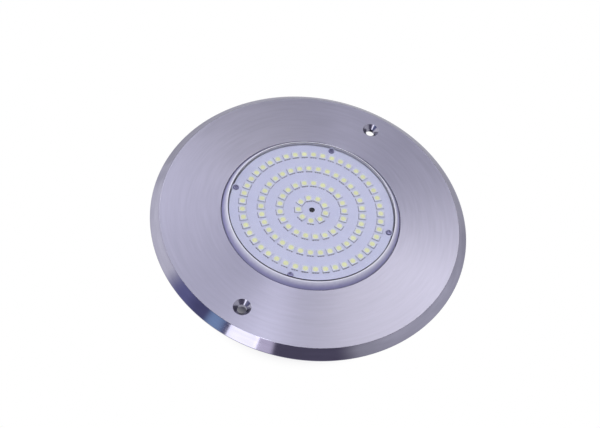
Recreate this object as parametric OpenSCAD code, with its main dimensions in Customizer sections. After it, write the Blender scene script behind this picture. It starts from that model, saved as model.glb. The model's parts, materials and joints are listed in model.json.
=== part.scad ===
// Underwater pool light: a bevelled steel face ring, a low clear lens and a round board of LEDs,
// with a sealed housing behind it that goes into the wall.
// Millimetres. The origin is the middle of the face ring's back, on the wall. +Z points out of the wall.

/* [Lens] */
// Outside diameter of the lens where it passes through the face ring
lens_d = 129.2; // [110:0.2:170]
// Wall of the lens where it passes through the face ring
lens_wall = 3.9; // [3:0.1:5]
// Thickness of the lens window
lens_t = 2.6; // [2:0.1:4]
// Height of the lens window above the face ring
lens_proud = 4.8; // [3.5:0.1:8]
// Width of the sloping shoulder, along the radius
lens_slope = 3.9; // [2:0.1:5]
// How far below the ring's face the slope starts
lens_slope_drop = 0.6; // [0.2:0.1:1.5]
// Rounding between the slope and the window
lens_round = 1.5; // [0.5:0.1:2.5]
// Rounding inside the lens, under the window's edge
lens_in_round = 1.2; // [0.4:0.1:1.5]
// Width of the flange that is held behind the face ring
lens_flange_w = 6; // [5:0.2:9]
// Thickness of that flange
lens_flange_t = 2; // [1.6:0.1:4]

/* [Face ring] */
// Thickness of the ring's lip over the lens flange
lip_t = 2; // [1.6:0.1:4]
// Rounding of the inner edge beside the lens
lip_round = 1.1; // [0.3:0.1:1.5]
// Width of the bevel round the outside, along the radius
bevel_w = 6.6; // [3:0.2:9]
// Height of the upright edge below the bevel
rim_land = 0.6; // [0.2:0.1:1.2]
// From the middle of a fixing hole to the outer edge
rim_w = 21.3; // [17:0.1:35]

/* [Fixing holes] */
// Diameter of the hole
fixing_d = 6.6; // [4.5:0.1:8]
// Diameter of the countersink at the face
countersink_d = 12.4; // [10:0.1:13]
// From the housing's flange to the middle of a fixing hole
fixing_gap = 12.7; // [9:0.1:25]

/* [Housing] */
// Thickness of the side walls
housing_wall = 4; // [3:0.1:6]
// Thickness of the floor
floor_t = 4; // [3:0.1:7]
// Thickness of the flange
flange_t = 5; // [4:0.1:8]
// How deep the flange is let into the face ring's back
flange_seat = 0.8; // [0.5:0.1:1.5]
// From the clamp screws to the flange's outer edge
flange_edge = 5; // [4.2:0.1:8]
// Width of the ledge that carries the heat spreader
ledge_w = 6.4; // [6:0.1:9]
// Depth of solid wall under that ledge
ledge_t = 6; // [5:0.1:10]
// Thickness of the ribs under the flange
rib_t = 2.4; // [1.6:0.1:4]
// Diameter of the pillars under the driver board
pillar_d = 7; // [6:0.1:9]

/* [Clamp screws] */
// Number of screws that clamp the housing to the ring
clamp_count = 8; // [6:1:12]
// Thread diameter
clamp_d = 4; // [3:0.5:5]
// Head diameter
clamp_head_d = 7; // [6:0.1:8]
// Head height
clamp_head_h = 4; // [2.5:0.1:5]
// Across the flats of the hexagon socket
clamp_key = 3; // [2:0.5:3.5]
// From the lens recess to the middle of a screw
clamp_gap = 5; // [4.4:0.1:8]
// Steel left over the end of a tapped hole
tap_skin = 1; // [0.6:0.1:1.4]
// Thickness of a spring washer
spring_t = 1; // [0.6:0.1:1.5]

/* [Seals] */
// Thickness of the flat gasket in front of the lens flange
gasket_t = 0.7; // [0.5:0.1:2]
// Height of the squeezed O-ring behind the lens flange
seal_h = 2.5; // [1.8:0.1:3]
// Width of the O-ring's groove
groove_w = 3.4; // [3.2:0.1:3.6]
// From the lens flange's edge to the middle of the groove
groove_in = 2.2; // [2.1:0.1:2.4]

/* [LED board] */
// Thickness of the board
board_t = 1.6; // [1:0.1:3]
// Gap between the board and the inside of the lens
board_gap = 1.1; // [0.6:0.1:2]
// Diameter of the hole in the middle
board_hole_d = 4; // [3.4:0.1:5]
// From the board's edge to the middle of a board screw
board_screw_in = 2.3; // [2:0.1:4]
// Turn of the board from the line of the fixing holes, in degrees
board_turn = 14.7; // [0:0.1:90]
// From the board screws to the outer ring of LEDs
led_in = 7.17; // [6:0.01:12]
// Length of an LED, along the radius
led_l = 5; // [3:0.1:6]
// Width of an LED
led_w = 5; // [2.8:0.1:5.4]
// Height of an LED
led_h = 1; // [0.4:0.1:1.6]
// Thread diameter of a board screw
board_screw_d = 2.5; // [2:0.1:3]
// Head diameter of a board screw
board_head_d = 4.5; // [3.8:0.1:4.6]
// Head height of a board screw
board_head_h = 1; // [0.8:0.1:2]
// How far a board screw goes into the heat spreader
board_bite = 3; // [2:0.1:3.2]

/* [Heat spreader] */
// Thickness of its top
spreader_t = 4; // [3.8:0.1:7]
// Thickness of its skirt
skirt_t = 3; // [2:0.1:5]
// Thickness of its foot
foot_t = 2; // [1.5:0.1:4]
// Thickness of the thermal pad
pad_t = 0.5; // [0.3:0.1:2]
// Diameter of the hole for the leads
lead_hole_d = 6; // [4.5:0.1:9]

/* [Small screws] */
// Thread diameter of the foot and driver screws
small_d = 3; // [2.5:0.1:3.2]
// Head diameter of the foot and driver screws
small_head_d = 5.2; // [4.6:0.1:5.4]
// Head height of the foot and driver screws
small_head_h = 2; // [1.4:0.1:2.6]
// How far the foot and driver screws go into the plastic
small_bite = 5; // [3:0.1:5.5]

/* [Driver] */
// Thickness of the driver board
driver_t = 1.6; // [1:0.1:3]
// Gap between the driver board and the housing's wall
driver_gap = 9; // [7:0.5:12]
// Diameter of the hole in the middle of the driver board
driver_hole_d = 30; // [24:1:34]
// Height of the capacitors, the tallest parts on the board
capacitor_h = 12; // [11:0.5:20]
// Diameter of a capacitor
capacitor_d = 8; // [5:0.5:10]
// Diameter of the inductor
inductor_d = 13; // [9:0.5:15]
// Height of the inductor
inductor_h = 9; // [6:0.5:11]
// Free height over the capacitors
head_room = 4.7; // [3:0.1:15]
// Diameter of the leads to the LED board
lead_d = 1.4; // [0.8:0.1:1.5]

/* [Cable gland] */
// Thread diameter
gland_d = 20; // [16:0.5:22]
// Thread pitch
gland_pitch = 1.5; // [1:0.1:2]
// Across the flats of the body, the nut and the locknut
gland_key = 27; // [26.4:0.1:32]
// Thickness of the body's hexagon
gland_hex_t = 5; // [3:0.1:8]
// Length of the thread that the nut runs on
gland_thread_l = 11; // [9:0.1:16]
// Diameter of the passage through the body
gland_bore_d = 12; // [10.6:0.1:12.4]
// Thickness of the rubber seal's wall
gland_seal_t = 3.4; // [2:0.1:3.6]
// Outside diameter of the rubber seal
gland_seal_d = 15.8; // [14.6:0.1:16]
// How far the seal stands out of the body
gland_seal_out = 1.5; // [0.5:0.1:3]
// Depth of the seal's pocket in the body
gland_pocket = 8.8; // [5:0.1:12]
// Thickness of the thrust ring
thrust_t = 1.2; // [0.8:0.1:2]
// Diameter of the way out through the nut
nut_hole_d = 12.6; // [11:0.1:14]
// Thickness of the nut's end
nut_end_t = 5; // [3:0.1:7]
// Thickness of the locknut
locknut_t = 5; // [3:0.1:8]
// Section of the gland's O-ring
gland_ring_d = 1.6; // [1:0.1:1.8]
// Length of thread that shows past the locknut
thread_end = 1.5; // [0.5:0.1:4]
// Free height over the gland for the cable's wires
wiring_room = 5.5; // [4:0.1:20]

/* [Clearances] */
// Gap between the lens and the face ring, all round
lens_gap = 0.4; // [0.2:0.1:0.8]
// Gap round the housing's flange in its seat
flange_gap = 0.3; // [0.1:0.1:0.5]
// Gap under the lens flange, so that the housing seats on the ring
seat_gap = 0.1; // [0.05:0.05:0.3]
// Gap round a screw in a plain hole
screw_gap = 0.2; // [0.1:0.05:0.3]
// Gap between the gland's thread and its nut
thread_gap = 0.08; // [0.02:0.01:0.1]
// Gap between the gland's nut, thrust ring and seal
thrust_gap = 0.1; // [0.05:0.05:0.3]
// Gap above the tallest part under the lens
window_gap = 0.4; // [0.2:0.1:2]
// Gap between small parts that are pushed together
touch = 0.02; // [0.01:0.01:0.05]

/* [Hidden] */
$fn = 96;
// Overlap that keeps cuts and joins clean
cut = 0.5;

// Radii, from the lens outwards
lens_r = lens_d / 2;
lens_in_r = lens_r - lens_wall;
bore_r = lens_r + lens_gap;
lens_flange_r = lens_r + lens_flange_w;
recess_r = lens_flange_r + lens_gap;
clamp_r = recess_r + clamp_gap;
flange_r = clamp_r + flange_edge;
seat_r = flange_r + flange_gap;
fixing_r = flange_r + fixing_gap;
rim_r = fixing_r + rim_w;

// Radii, from the lens inwards
groove_r = lens_flange_r - groove_in;
mouth_land = 1.5;
mouth_r = groove_r - groove_w / 2 - mouth_land;
cavity_r = mouth_r - ledge_w;
shoulder_r = mouth_r + housing_wall;
body_r = cavity_r + housing_wall;
foot_gap = 0.3;
foot_r = mouth_r - foot_gap;
skirt_gap = 0.6;
skirt_r = cavity_r - skirt_gap;
foot_screw_r = (skirt_r + foot_r) / 2;
board_r = lens_in_r - board_gap;
board_screw_r = board_r - board_screw_in;
ear_gap = 0.2;
ear_r = lens_in_r - ear_gap - board_screw_r;
spreader_inset = 0.2;
spreader_r = board_r - spreader_inset;
pad_inset = 0.6;
pad_r = spreader_r - pad_inset;

// Heights, from the wall outwards
lens_foot_z = flange_seat + seat_gap;
lens_flange_z = lens_foot_z + lens_flange_t;
recess_z = lens_flange_z + gasket_t;
ring_t = recess_z + lip_t;
lens_z = ring_t + lens_proud;
lens_in_z = lens_z - lens_t;
board_z = lens_in_z - window_gap - max(led_h, board_head_h);
pad_z = board_z - board_t;
spreader_z = pad_z - pad_t;
spreader_under_z = spreader_z - spreader_t;
tap_z = ring_t - tap_skin;

// Heights, from the wall inwards
foot_screw_gap = 4;
flange_under_z = flange_seat - flange_t;
ledge_z = flange_seat - foot_screw_gap - small_head_h - foot_t;
driver_top_z = spreader_under_z - head_room - capacitor_h;
pillar_h = locknut_t + thread_end + wiring_room;
floor_z = min(driver_top_z - driver_t - pillar_h, ledge_z - ledge_t);
back_z = floor_z - floor_t;
driver_z = driver_top_z - driver_t;

// Rings of LEDs, each with the same spacing along its ring
led_first = 9;
led_step = 12;
led_rings = 4;
led_counts = [for (k = [0 : led_rings - 1]) led_first + led_step * k];
led_outer_r = board_screw_r - led_in;
// Least gap between the inner corners of the LEDs in the smallest ring
led_gap = 0.2;
led_inner_r = max(led_outer_r * led_first / led_counts[led_rings - 1],
                  led_l / 2 + (led_w + led_gap) / 2 / tan(180 / led_first));
led_phases = [30.2, 12.2, 7.8, 5.7];

// Driver board
driver_r = cavity_r - driver_gap;
driver_hole_r = driver_hole_d / 2;
part_r = (driver_r + driver_hole_r) / 2;
driver_screw_in = 5;
driver_screw_r = driver_r - driver_screw_in;
terminal_turn = 0;
inductor_turn = 90;
rectifier_turn = 180;
chip_turn = 207;
capacitor_turn = 270;
capacitor_gap = 2;

// Gland, from the back of the housing downwards
gland_hex_z = back_z - gland_hex_t;
gland_end_z = gland_hex_z - gland_thread_l;
seal_end_z = gland_end_z - gland_seal_out;
thrust_z = seal_end_z - thrust_gap;
nut_seat_z = thrust_z - thrust_t - thrust_gap;
nut_end_z = nut_seat_z - nut_end_t;
nut_start_gap = 1;
nut_top_z = gland_hex_z - nut_start_gap;
thread_r = gland_d / 2;
gland_ring_land = 0.5;
gland_ring_r = thread_r + gland_ring_land + gland_ring_d / 2;
hole_gap = 0.3;

steel = "lightgray";
zinc = "silver";
plastic = "dimgray";
rubber = "black";

// A copy at each of n places round a circle
module around(n, r, turn = 0) {
  for (k = [0 : n - 1]) rotate(turn + 360 * k / n) translate([r, 0, 0]) children();
}

// A flat ring from z upwards
module ring(outer_r, inner_r, z, h) {
  translate([0, 0, z]) difference() {
    cylinder(r = outer_r, h = h);
    translate([0, 0, -cut]) cylinder(r = inner_r, h = h + 2 * cut);
  }
}

// A ring of round section
module o_ring(r, section_d, z) {
  translate([0, 0, z]) rotate_extrude() translate([r, 0]) circle(d = section_d);
}

// A hexagon bar from z upwards, across the flats
module hexagon(key, z, h) {
  translate([0, 0, z]) cylinder(d = key / cos(30), h = h, $fn = 6);
}

// A screw with a low round head and a crossed recess, its head standing on z = 0
module pan_screw(thread_d, length, head_d, head_h) {
  crown_d = head_d * 0.8;
  slot_w = head_d / 6;
  slot_l = head_d * 0.6;
  slot_h = head_h / 2;
  difference() {
    union() {
      cylinder(d1 = head_d, d2 = crown_d, h = head_h);
      translate([0, 0, -length]) cylinder(d = thread_d, h = length + head_h / 2);
    }
    for (turn = [0, 90]) rotate(turn) translate([-slot_l / 2, -slot_w / 2, head_h - slot_h])
      cube([slot_l, slot_w, slot_h + cut]);
  }
}

// A rectangular part that stands on the driver board
module box_part(length, width, height) {
  translate([-length / 2, -width / 2, 0]) cube([length, width, height]);
}

// Places round the driver board, on its top face
module on_driver(turn, r = part_r) {
  rotate(turn) translate([r, 0, driver_top_z]) children();
}

// Half section of the face ring
module face_section() {
  difference() {
    polygon([
      [recess_r, flange_seat], [seat_r, flange_seat], [seat_r, 0], [rim_r, 0], [rim_r, rim_land],
      [rim_r - bevel_w, ring_t], [bore_r, ring_t], [bore_r, recess_z], [recess_r, recess_z],
    ]);
    translate([bore_r, ring_t - lip_round]) difference() {
      translate([-cut, 0]) square([lip_round + cut, lip_round + cut]);
      translate([lip_round, 0]) circle(r = lip_round);
    }
  }
}

module face_ring() {
  sink_h = (countersink_d - fixing_d) / 2;
  color(steel) difference() {
    rotate_extrude() face_section();
    around(2, fixing_r, 90) {
      translate([0, 0, -cut]) cylinder(d = fixing_d, h = ring_t + 2 * cut);
      translate([0, 0, ring_t - sink_h])
        cylinder(d1 = fixing_d, d2 = countersink_d + 2 * cut, h = sink_h + cut);
    }
    around(clamp_count, clamp_r) translate([0, 0, -cut]) cylinder(d = clamp_d, h = tap_z + cut);
  }
}

module front_gasket() {
  gasket_edge = 0.4;
  color("gainsboro") ring(lens_flange_r - gasket_edge, bore_r + gasket_edge, lens_flange_z, gasket_t);
}

// Half section of the lens, with its rounded shoulder
module lens_section() {
  slope_z = ring_t - lens_slope_drop;
  top_r = lens_r - lens_slope;
  // The slope's angle from the face, and the rounding's own middle
  slope_a = atan2(lens_z - slope_z, lens_slope);
  mid_r = top_r - lens_round * tan(slope_a / 2);
  mid_z = lens_z - lens_round;
  steps = 8;
  difference() {
    polygon(concat(
      [[0, lens_foot_z], [lens_flange_r, lens_foot_z], [lens_flange_r, lens_flange_z]],
      [[lens_r, lens_flange_z], [lens_r, slope_z]],
      [for (k = [0 : steps]) let (a = 90 - slope_a + slope_a * k / steps)
        [mid_r + lens_round * cos(a), mid_z + lens_round * sin(a)]],
      [[0, lens_z]]
    ));
    difference() {
      translate([-cut, -cut]) square([lens_in_r + cut, lens_in_z + cut]);
      translate([lens_in_r - lens_in_round, lens_in_z - lens_in_round]) difference() {
        square(lens_in_round + cut);
        circle(r = lens_in_round);
      }
    }
  }
}

module front_lens() {
  color("lavender", 0.4) rotate_extrude() lens_section();
}

module housing_seal() {
  color(rubber) o_ring(groove_r, seal_h - 2 * touch, lens_foot_z - seal_h / 2);
}

module rear_housing() {
  step_z = ledge_z - ledge_t;
  rib_in = 1;
  rib_edge = 3;
  rib_foot = 1.5;
  color(plastic) difference() {
    union() {
      rotate_extrude() difference() {
        polygon([
          [0, back_z], [body_r, back_z], [body_r, step_z], [shoulder_r, step_z],
          [shoulder_r, flange_under_z], [flange_r, flange_under_z], [flange_r, flange_seat],
          [mouth_r, flange_seat], [mouth_r, ledge_z], [cavity_r, ledge_z], [cavity_r, floor_z],
          [0, floor_z],
        ]);
        translate([groove_r - groove_w / 2, lens_foot_z - seal_h]) square([groove_w, seal_h + cut]);
      }
      around(clamp_count, 0, 180 / clamp_count) rotate([90, 0, 0])
        linear_extrude(rib_t, center = true) polygon([
          [shoulder_r - rib_in, flange_under_z + cut], [flange_r - rib_edge, flange_under_z + cut],
          [shoulder_r - rib_in, step_z + rib_foot],
        ]);
      around(4, driver_screw_r, 45) translate([0, 0, floor_z - cut])
        cylinder(d = pillar_d, h = driver_z - floor_z + cut);
    }
    around(clamp_count, clamp_r) translate([0, 0, flange_under_z - cut])
      cylinder(d = clamp_d + 2 * screw_gap, h = flange_t + 2 * cut);
    around(4, foot_screw_r) translate([0, 0, ledge_z - small_bite])
      cylinder(d = small_d, h = small_bite + cut);
    around(4, driver_screw_r, 45) translate([0, 0, driver_z - small_bite])
      cylinder(d = small_d, h = small_bite + cut);
    translate([0, 0, back_z - cut]) cylinder(r = thread_r + hole_gap, h = floor_t + 2 * cut);
  }
}

module clamp_screws() {
  tip_gap = 0.6;
  head_z = flange_under_z - spring_t;
  length = tap_z - tip_gap - head_z;
  key_depth = clamp_head_h / 2;
  color(zinc) around(clamp_count, clamp_r) translate([0, 0, head_z]) difference() {
    union() {
      translate([0, 0, -clamp_head_h]) cylinder(d = clamp_head_d, h = clamp_head_h);
      cylinder(d = clamp_d, h = length);
    }
    hexagon(clamp_key, -clamp_head_h - cut, key_depth + cut);
  }
}

module spring_washers() {
  spring_w = 1.2;
  split = 12;
  inner_r = clamp_d / 2 + screw_gap;
  color(zinc) around(clamp_count, clamp_r) translate([0, 0, flange_under_z - spring_t])
    rotate_extrude(angle = 360 - split) translate([inner_r, 0]) square([spring_w, spring_t]);
}

module led_board() {
  color("whitesmoke") translate([0, 0, pad_z]) linear_extrude(board_t) difference() {
    union() {
      circle(r = board_r);
      around(4, board_screw_r, 90 + board_turn) circle(r = ear_r);
    }
    around(4, board_screw_r, 90 + board_turn) circle(d = board_screw_d + 2 * screw_gap);
    circle(d = board_hole_d);
  }
}

// One ring of LEDs, counted from the middle of the board
module led_ring(k) {
  count = led_counts[k];
  r = led_inner_r + (led_outer_r - led_inner_r) * k / (led_rings - 1);
  color("lightyellow") around(count, r, 90 + board_turn + led_phases[k]) translate([0, 0, board_z])
    box_part(led_l, led_w, led_h);
}

module led_ring_1() { led_ring(0); }
module led_ring_2() { led_ring(1); }
module led_ring_3() { led_ring(2); }
module led_ring_4() { led_ring(3); }

module board_screws() {
  color("dimgray") around(4, board_screw_r, 90 + board_turn) translate([0, 0, board_z])
    pan_screw(board_screw_d, board_t + pad_t + board_bite, board_head_d, board_head_h);
}

module thermal_pad() {
  color("lightblue") difference() {
    translate([0, 0, spreader_z]) cylinder(r = pad_r, h = pad_t);
    around(4, board_screw_r, 90 + board_turn) translate([0, 0, spreader_z - cut])
      cylinder(d = board_screw_d + 2 * screw_gap, h = pad_t + 2 * cut);
    translate([0, 0, spreader_z - cut]) cylinder(d = lead_hole_d, h = pad_t + 2 * cut);
  }
}

module heat_spreader() {
  tap_tip = 0.4;
  tap_depth = board_bite + tap_tip;
  color("darkgray") difference() {
    rotate_extrude() polygon([
      [lead_hole_d / 2, spreader_under_z], [skirt_r - skirt_t, spreader_under_z],
      [skirt_r - skirt_t, ledge_z], [foot_r, ledge_z], [foot_r, ledge_z + foot_t],
      [skirt_r, ledge_z + foot_t], [skirt_r, spreader_under_z], [spreader_r, spreader_under_z],
      [spreader_r, spreader_z], [lead_hole_d / 2, spreader_z],
    ]);
    around(4, board_screw_r, 90 + board_turn) translate([0, 0, spreader_z - tap_depth])
      cylinder(d = board_screw_d, h = tap_depth + cut);
    around(4, foot_screw_r) translate([0, 0, ledge_z - cut])
      cylinder(d = small_d + 2 * screw_gap, h = foot_t + 2 * cut);
  }
}

module spreader_screws() {
  tip_gap = 0.5;
  color(zinc) around(4, foot_screw_r) translate([0, 0, ledge_z + foot_t])
    pan_screw(small_d, foot_t + small_bite - tip_gap, small_head_d, small_head_h);
}

// One lead: up from the driver board, in to the middle and up through the heat spreader
module lead() {
  bend_r = 3;
  start_r = driver_hole_r + bend_r;
  end_r = lead_d * 0.6;
  run_z = spreader_under_z - 2 * bend_r;
  end_z = board_z - board_t / 2;
  translate([start_r, 0, driver_top_z]) cylinder(d = lead_d, h = run_z - bend_r - driver_top_z);
  translate([start_r - bend_r, 0, run_z - bend_r]) rotate([90, 0, 0])
    rotate_extrude(angle = 90) translate([bend_r, 0]) circle(d = lead_d);
  translate([end_r + bend_r, 0, run_z]) rotate([0, 90, 0])
    cylinder(d = lead_d, h = start_r - end_r - 2 * bend_r);
  translate([end_r + bend_r, 0, run_z + bend_r]) rotate([90, 180, 0])
    rotate_extrude(angle = 90) translate([bend_r, 0]) circle(d = lead_d);
  translate([end_r, 0, run_z + bend_r]) cylinder(d = lead_d, h = end_z - run_z - bend_r);
}

module led_leads() {
  color("black") around(2, 0) lead();
}

module driver_board() {
  color("seagreen") difference() {
    ring(driver_r, driver_hole_r, driver_z, driver_t);
    around(4, driver_screw_r, 45) translate([0, 0, driver_z - cut])
      cylinder(d = small_d + 2 * screw_gap, h = driver_t + 2 * cut);
  }
}

module driver_screws() {
  tip_gap = 0.5;
  color(zinc) around(4, driver_screw_r, 45) translate([0, 0, driver_top_z])
    pan_screw(small_d, driver_t + small_bite - tip_gap, small_head_d, small_head_h);
}

// Two-way block for the supply wires
terminal_l = 8;
terminal_w = 10;
terminal_h = 10;
terminal_pitch = 5;
terminal_screw_d = 3;
terminal_screw_h = 3;
terminal_entry = 2.6;

module terminal_block() {
  entry_z = 2;
  color("green") on_driver(terminal_turn) difference() {
    box_part(terminal_l, terminal_w, terminal_h);
    for (side = [-1, 1]) translate([0, side * terminal_pitch / 2, 0]) {
      translate([0, 0, terminal_h - terminal_screw_h])
        cylinder(d = terminal_screw_d + 2 * screw_gap, h = terminal_screw_h + cut);
      translate([-terminal_l / 2 - cut, -terminal_entry / 2, entry_z])
        cube([terminal_l / 2 + cut, terminal_entry, terminal_entry]);
    }
  }
}

module terminal_screws() {
  slot_w = 0.6;
  slot_h = 1;
  color(zinc) on_driver(terminal_turn) for (side = [-1, 1])
    translate([0, side * terminal_pitch / 2, terminal_h - terminal_screw_h]) difference() {
      cylinder(d = terminal_screw_d, h = terminal_screw_h);
      translate([-terminal_screw_d, -slot_w / 2, terminal_screw_h - slot_h])
        cube([2 * terminal_screw_d, slot_w, slot_h + cut]);
    }
}

module bridge_rectifier() {
  rectifier = [6.4, 8.4, 3.2];
  color("darkslategray") on_driver(rectifier_turn) box_part(rectifier[0], rectifier[1], rectifier[2]);
}

inductor_lip = 1.4;
inductor_neck_r = inductor_d / 4;

module inductor_core() {
  outer_r = inductor_d / 2;
  color("dimgray") on_driver(inductor_turn) rotate_extrude() polygon([
    [0, 0], [outer_r, 0], [outer_r, inductor_lip], [inductor_neck_r, inductor_lip],
    [inductor_neck_r, inductor_h - inductor_lip], [outer_r, inductor_h - inductor_lip],
    [outer_r, inductor_h], [0, inductor_h],
  ]);
}

module inductor_winding() {
  wire_in = 0.6;
  color("peru") on_driver(inductor_turn)
    ring(inductor_d / 2 - wire_in, inductor_neck_r + touch, inductor_lip + touch,
      inductor_h - 2 * inductor_lip - 2 * touch);
}

module filter_capacitors() {
  color("midnightblue") on_driver(capacitor_turn) for (side = [-1, 1])
    translate([0, side * (capacitor_d + capacitor_gap) / 2, 0]) cylinder(d = capacitor_d, h = capacitor_h);
}

module driver_chip() {
  chip = [4, 5, 1.6];
  color("black") on_driver(chip_turn) box_part(chip[0], chip[1], chip[2]);
}

module gland_body() {
  pocket_r = gland_seal_d / 2 + touch;
  groove_h = gland_ring_d - touch;
  thread_top_z = floor_z + locknut_t + thread_end;
  lead_in = 0.6 * gland_pitch;
  color(plastic) difference() {
    union() {
      hexagon(gland_key, gland_hex_z, gland_hex_t);
      rotate_extrude() polygon([
        [0, gland_end_z], [thread_r - lead_in, gland_end_z], [thread_r, gland_end_z + lead_in],
        [thread_r, thread_top_z - lead_in], [thread_r - lead_in, thread_top_z], [0, thread_top_z],
      ]);
    }
    translate([0, 0, gland_end_z - cut])
      cylinder(d = gland_bore_d, h = thread_top_z - gland_end_z + 2 * cut);
    translate([0, 0, gland_end_z - cut]) cylinder(r = pocket_r, h = gland_pocket + cut);
    ring(gland_ring_r + gland_ring_d / 2 + touch, thread_r + gland_ring_land - touch,
      back_z - groove_h, groove_h + cut);
  }
}

module gland_o_ring() {
  color(rubber) o_ring(gland_ring_r, gland_ring_d - 2 * touch, back_z - gland_ring_d / 2);
}

module gland_locknut() {
  color(plastic) difference() {
    hexagon(gland_key, floor_z, locknut_t);
    translate([0, 0, floor_z - cut]) cylinder(r = thread_r + thread_gap, h = locknut_t + 2 * cut);
  }
}

module gland_seal() {
  seal_r = gland_seal_d / 2;
  color(rubber) ring(seal_r, seal_r - gland_seal_t, seal_end_z, gland_seal_out + gland_pocket - touch);
}

module gland_thrust_ring() {
  thrust_edge = 0.4;
  color("white") ring(thread_r - thrust_edge, nut_hole_d / 2 - touch, thrust_z - thrust_t, thrust_t);
}

module gland_nut() {
  corner_r = gland_key / 2 / cos(30);
  dome_edge = 1;
  dome_land = 2;
  dome_h = nut_end_t - dome_edge;
  dome_r = nut_hole_d / 2 + dome_land;
  color(plastic) difference() {
    intersection() {
      hexagon(gland_key, nut_end_z, nut_top_z - nut_end_z);
      rotate_extrude() polygon([
        [0, nut_end_z], [dome_r, nut_end_z], [gland_key / 2, nut_end_z + dome_h],
        [corner_r + cut, nut_end_z + dome_h + corner_r - gland_key / 2 + cut],
        [corner_r + cut, nut_top_z], [0, nut_top_z],
      ]);
    }
    translate([0, 0, nut_seat_z]) cylinder(r = thread_r + thread_gap, h = nut_top_z - nut_seat_z + cut);
    translate([0, 0, nut_end_z - cut]) cylinder(d = nut_hole_d, h = nut_end_t + 2 * cut);
  }
}

face_ring();
front_gasket();
front_lens();
housing_seal();
rear_housing();
clamp_screws();
spring_washers();
led_board();
led_ring_1();
led_ring_2();
led_ring_3();
led_ring_4();
board_screws();
thermal_pad();
heat_spreader();
spreader_screws();
led_leads();
driver_board();
driver_screws();
terminal_block();
terminal_screws();
bridge_rectifier();
inductor_core();
inductor_winding();
filter_capacitors();
driver_chip();
gland_body();
gland_o_ring();
gland_locknut();
gland_seal();
gland_thrust_ring();
gland_nut();
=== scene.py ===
"""The looks of an underwater pool light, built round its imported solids.

A brushed steel face ring holds a low clear lens over a round board of LEDs. A black moulded housing
is clamped to the ring from behind, and a cable gland closes the housing's back.
Lengths in the classes are in millimetres, and the frame gives the places that they start from.
"""

import json
import logging
import math
from collections.abc import Callable, Iterable, Mapping, Sequence
from dataclasses import dataclass, field
from enum import Enum
from itertools import product

import bmesh
import bpy
from mathutils import Matrix, Quaternion, Vector


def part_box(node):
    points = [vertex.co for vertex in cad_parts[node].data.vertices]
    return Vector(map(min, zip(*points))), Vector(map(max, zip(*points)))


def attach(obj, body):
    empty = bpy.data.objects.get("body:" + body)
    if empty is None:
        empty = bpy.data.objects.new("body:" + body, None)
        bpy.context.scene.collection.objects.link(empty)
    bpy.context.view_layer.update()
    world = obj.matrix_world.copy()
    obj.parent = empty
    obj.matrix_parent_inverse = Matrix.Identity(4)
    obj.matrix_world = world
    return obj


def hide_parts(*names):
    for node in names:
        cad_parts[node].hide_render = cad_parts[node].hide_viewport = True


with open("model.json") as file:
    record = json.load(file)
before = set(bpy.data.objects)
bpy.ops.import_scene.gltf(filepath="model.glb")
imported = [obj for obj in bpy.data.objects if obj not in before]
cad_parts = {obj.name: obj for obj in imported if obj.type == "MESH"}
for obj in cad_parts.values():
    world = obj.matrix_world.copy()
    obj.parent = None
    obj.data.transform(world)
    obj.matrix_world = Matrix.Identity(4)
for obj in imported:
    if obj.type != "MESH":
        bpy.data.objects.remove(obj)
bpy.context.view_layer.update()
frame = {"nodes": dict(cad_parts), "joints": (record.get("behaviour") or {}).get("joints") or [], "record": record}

Tree = bpy.types.NodeTree
Socket = bpy.types.NodeSocket
Mesh = bmesh.types.BMesh
Face = bmesh.types.BMFace
Vert = bmesh.types.BMVert
Piece = bpy.types.Object

LOG = logging.getLogger("pool_light")
MM = 0.001
# Points closer than this are one point
MERGE = 1e-6
# Edges that turn by more than this stay crisp, in degrees
CRISP = 40.0
FULL_TURN = 2 * math.pi
# How far a tool passes the face that it cuts or joins, and how far it does in the housing
SPARE = 1.0
OVERLAP = 0.5
# How upright the normal of a face is that lies level, or that looks up
LEVEL = 0.99
UPWARD = 0.9


def linear(code: str) -> tuple[float, float, float, float]:
    """Turn an sRGB hex colour into linear light.

    Args:
        code: six hex digits, red first.

    Returns:
        Red, green, blue and a full alpha.
    """
    channels = [int(code[k:k + 2], 16) / 255 for k in (0, 2, 4)]
    light = [c / 12.92 if c <= 0.04045 else ((c + 0.055) / 1.055) ** 2.4 for c in channels]
    return (*light, 1.0)


def add_node(tree: Tree, kind: str, settings: Mapping | None = None,
             inputs: Mapping | None = None) -> bpy.types.Node:
    """Add a node with its settings and links.

    Args:
        tree: the tree that takes the node.
        kind: the node's type name.
        settings: properties of the node.
        inputs: values or output sockets, by the input's name or number.

    Returns:
        The new node.
    """
    node = tree.nodes.new(kind)
    for name, value in (settings or {}).items():
        setattr(node, name, value)
    for name, value in (inputs or {}).items():
        if isinstance(value, Socket):
            tree.links.new(value, node.inputs[name])
        else:
            node.inputs[name].default_value = value
    return node


def empty_tree(owner: bpy.types.Material | bpy.types.World) -> Tree:
    """Give a material or the world a node tree with nothing in it.

    Args:
        owner: the material or world.

    Returns:
        Its tree.
    """
    owner.use_nodes = True
    owner.node_tree.nodes.clear()
    return owner.node_tree


def number_math(tree: Tree, operation: str, *values: object) -> Socket:
    """Work on numbers or their sockets, and give the result."""
    return add_node(tree, "ShaderNodeMath", {"operation": operation}, dict(enumerate(values))).outputs[0]


def vector_math(tree: Tree, operation: str, *values: object) -> bpy.types.Node:
    """Work on vectors or their sockets."""
    return add_node(tree, "ShaderNodeVectorMath", {"operation": operation}, dict(enumerate(values)))


def from_axis(tree: Tree, point: Socket) -> Socket:
    """Give the level way from the light's axis to a point."""
    return vector_math(tree, "MULTIPLY", point, (1, 1, 0)).outputs[0]


def distance(tree: Tree, way: Socket) -> Socket:
    """Give a vector's length."""
    return vector_math(tree, "LENGTH", way).outputs["Value"]


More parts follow.
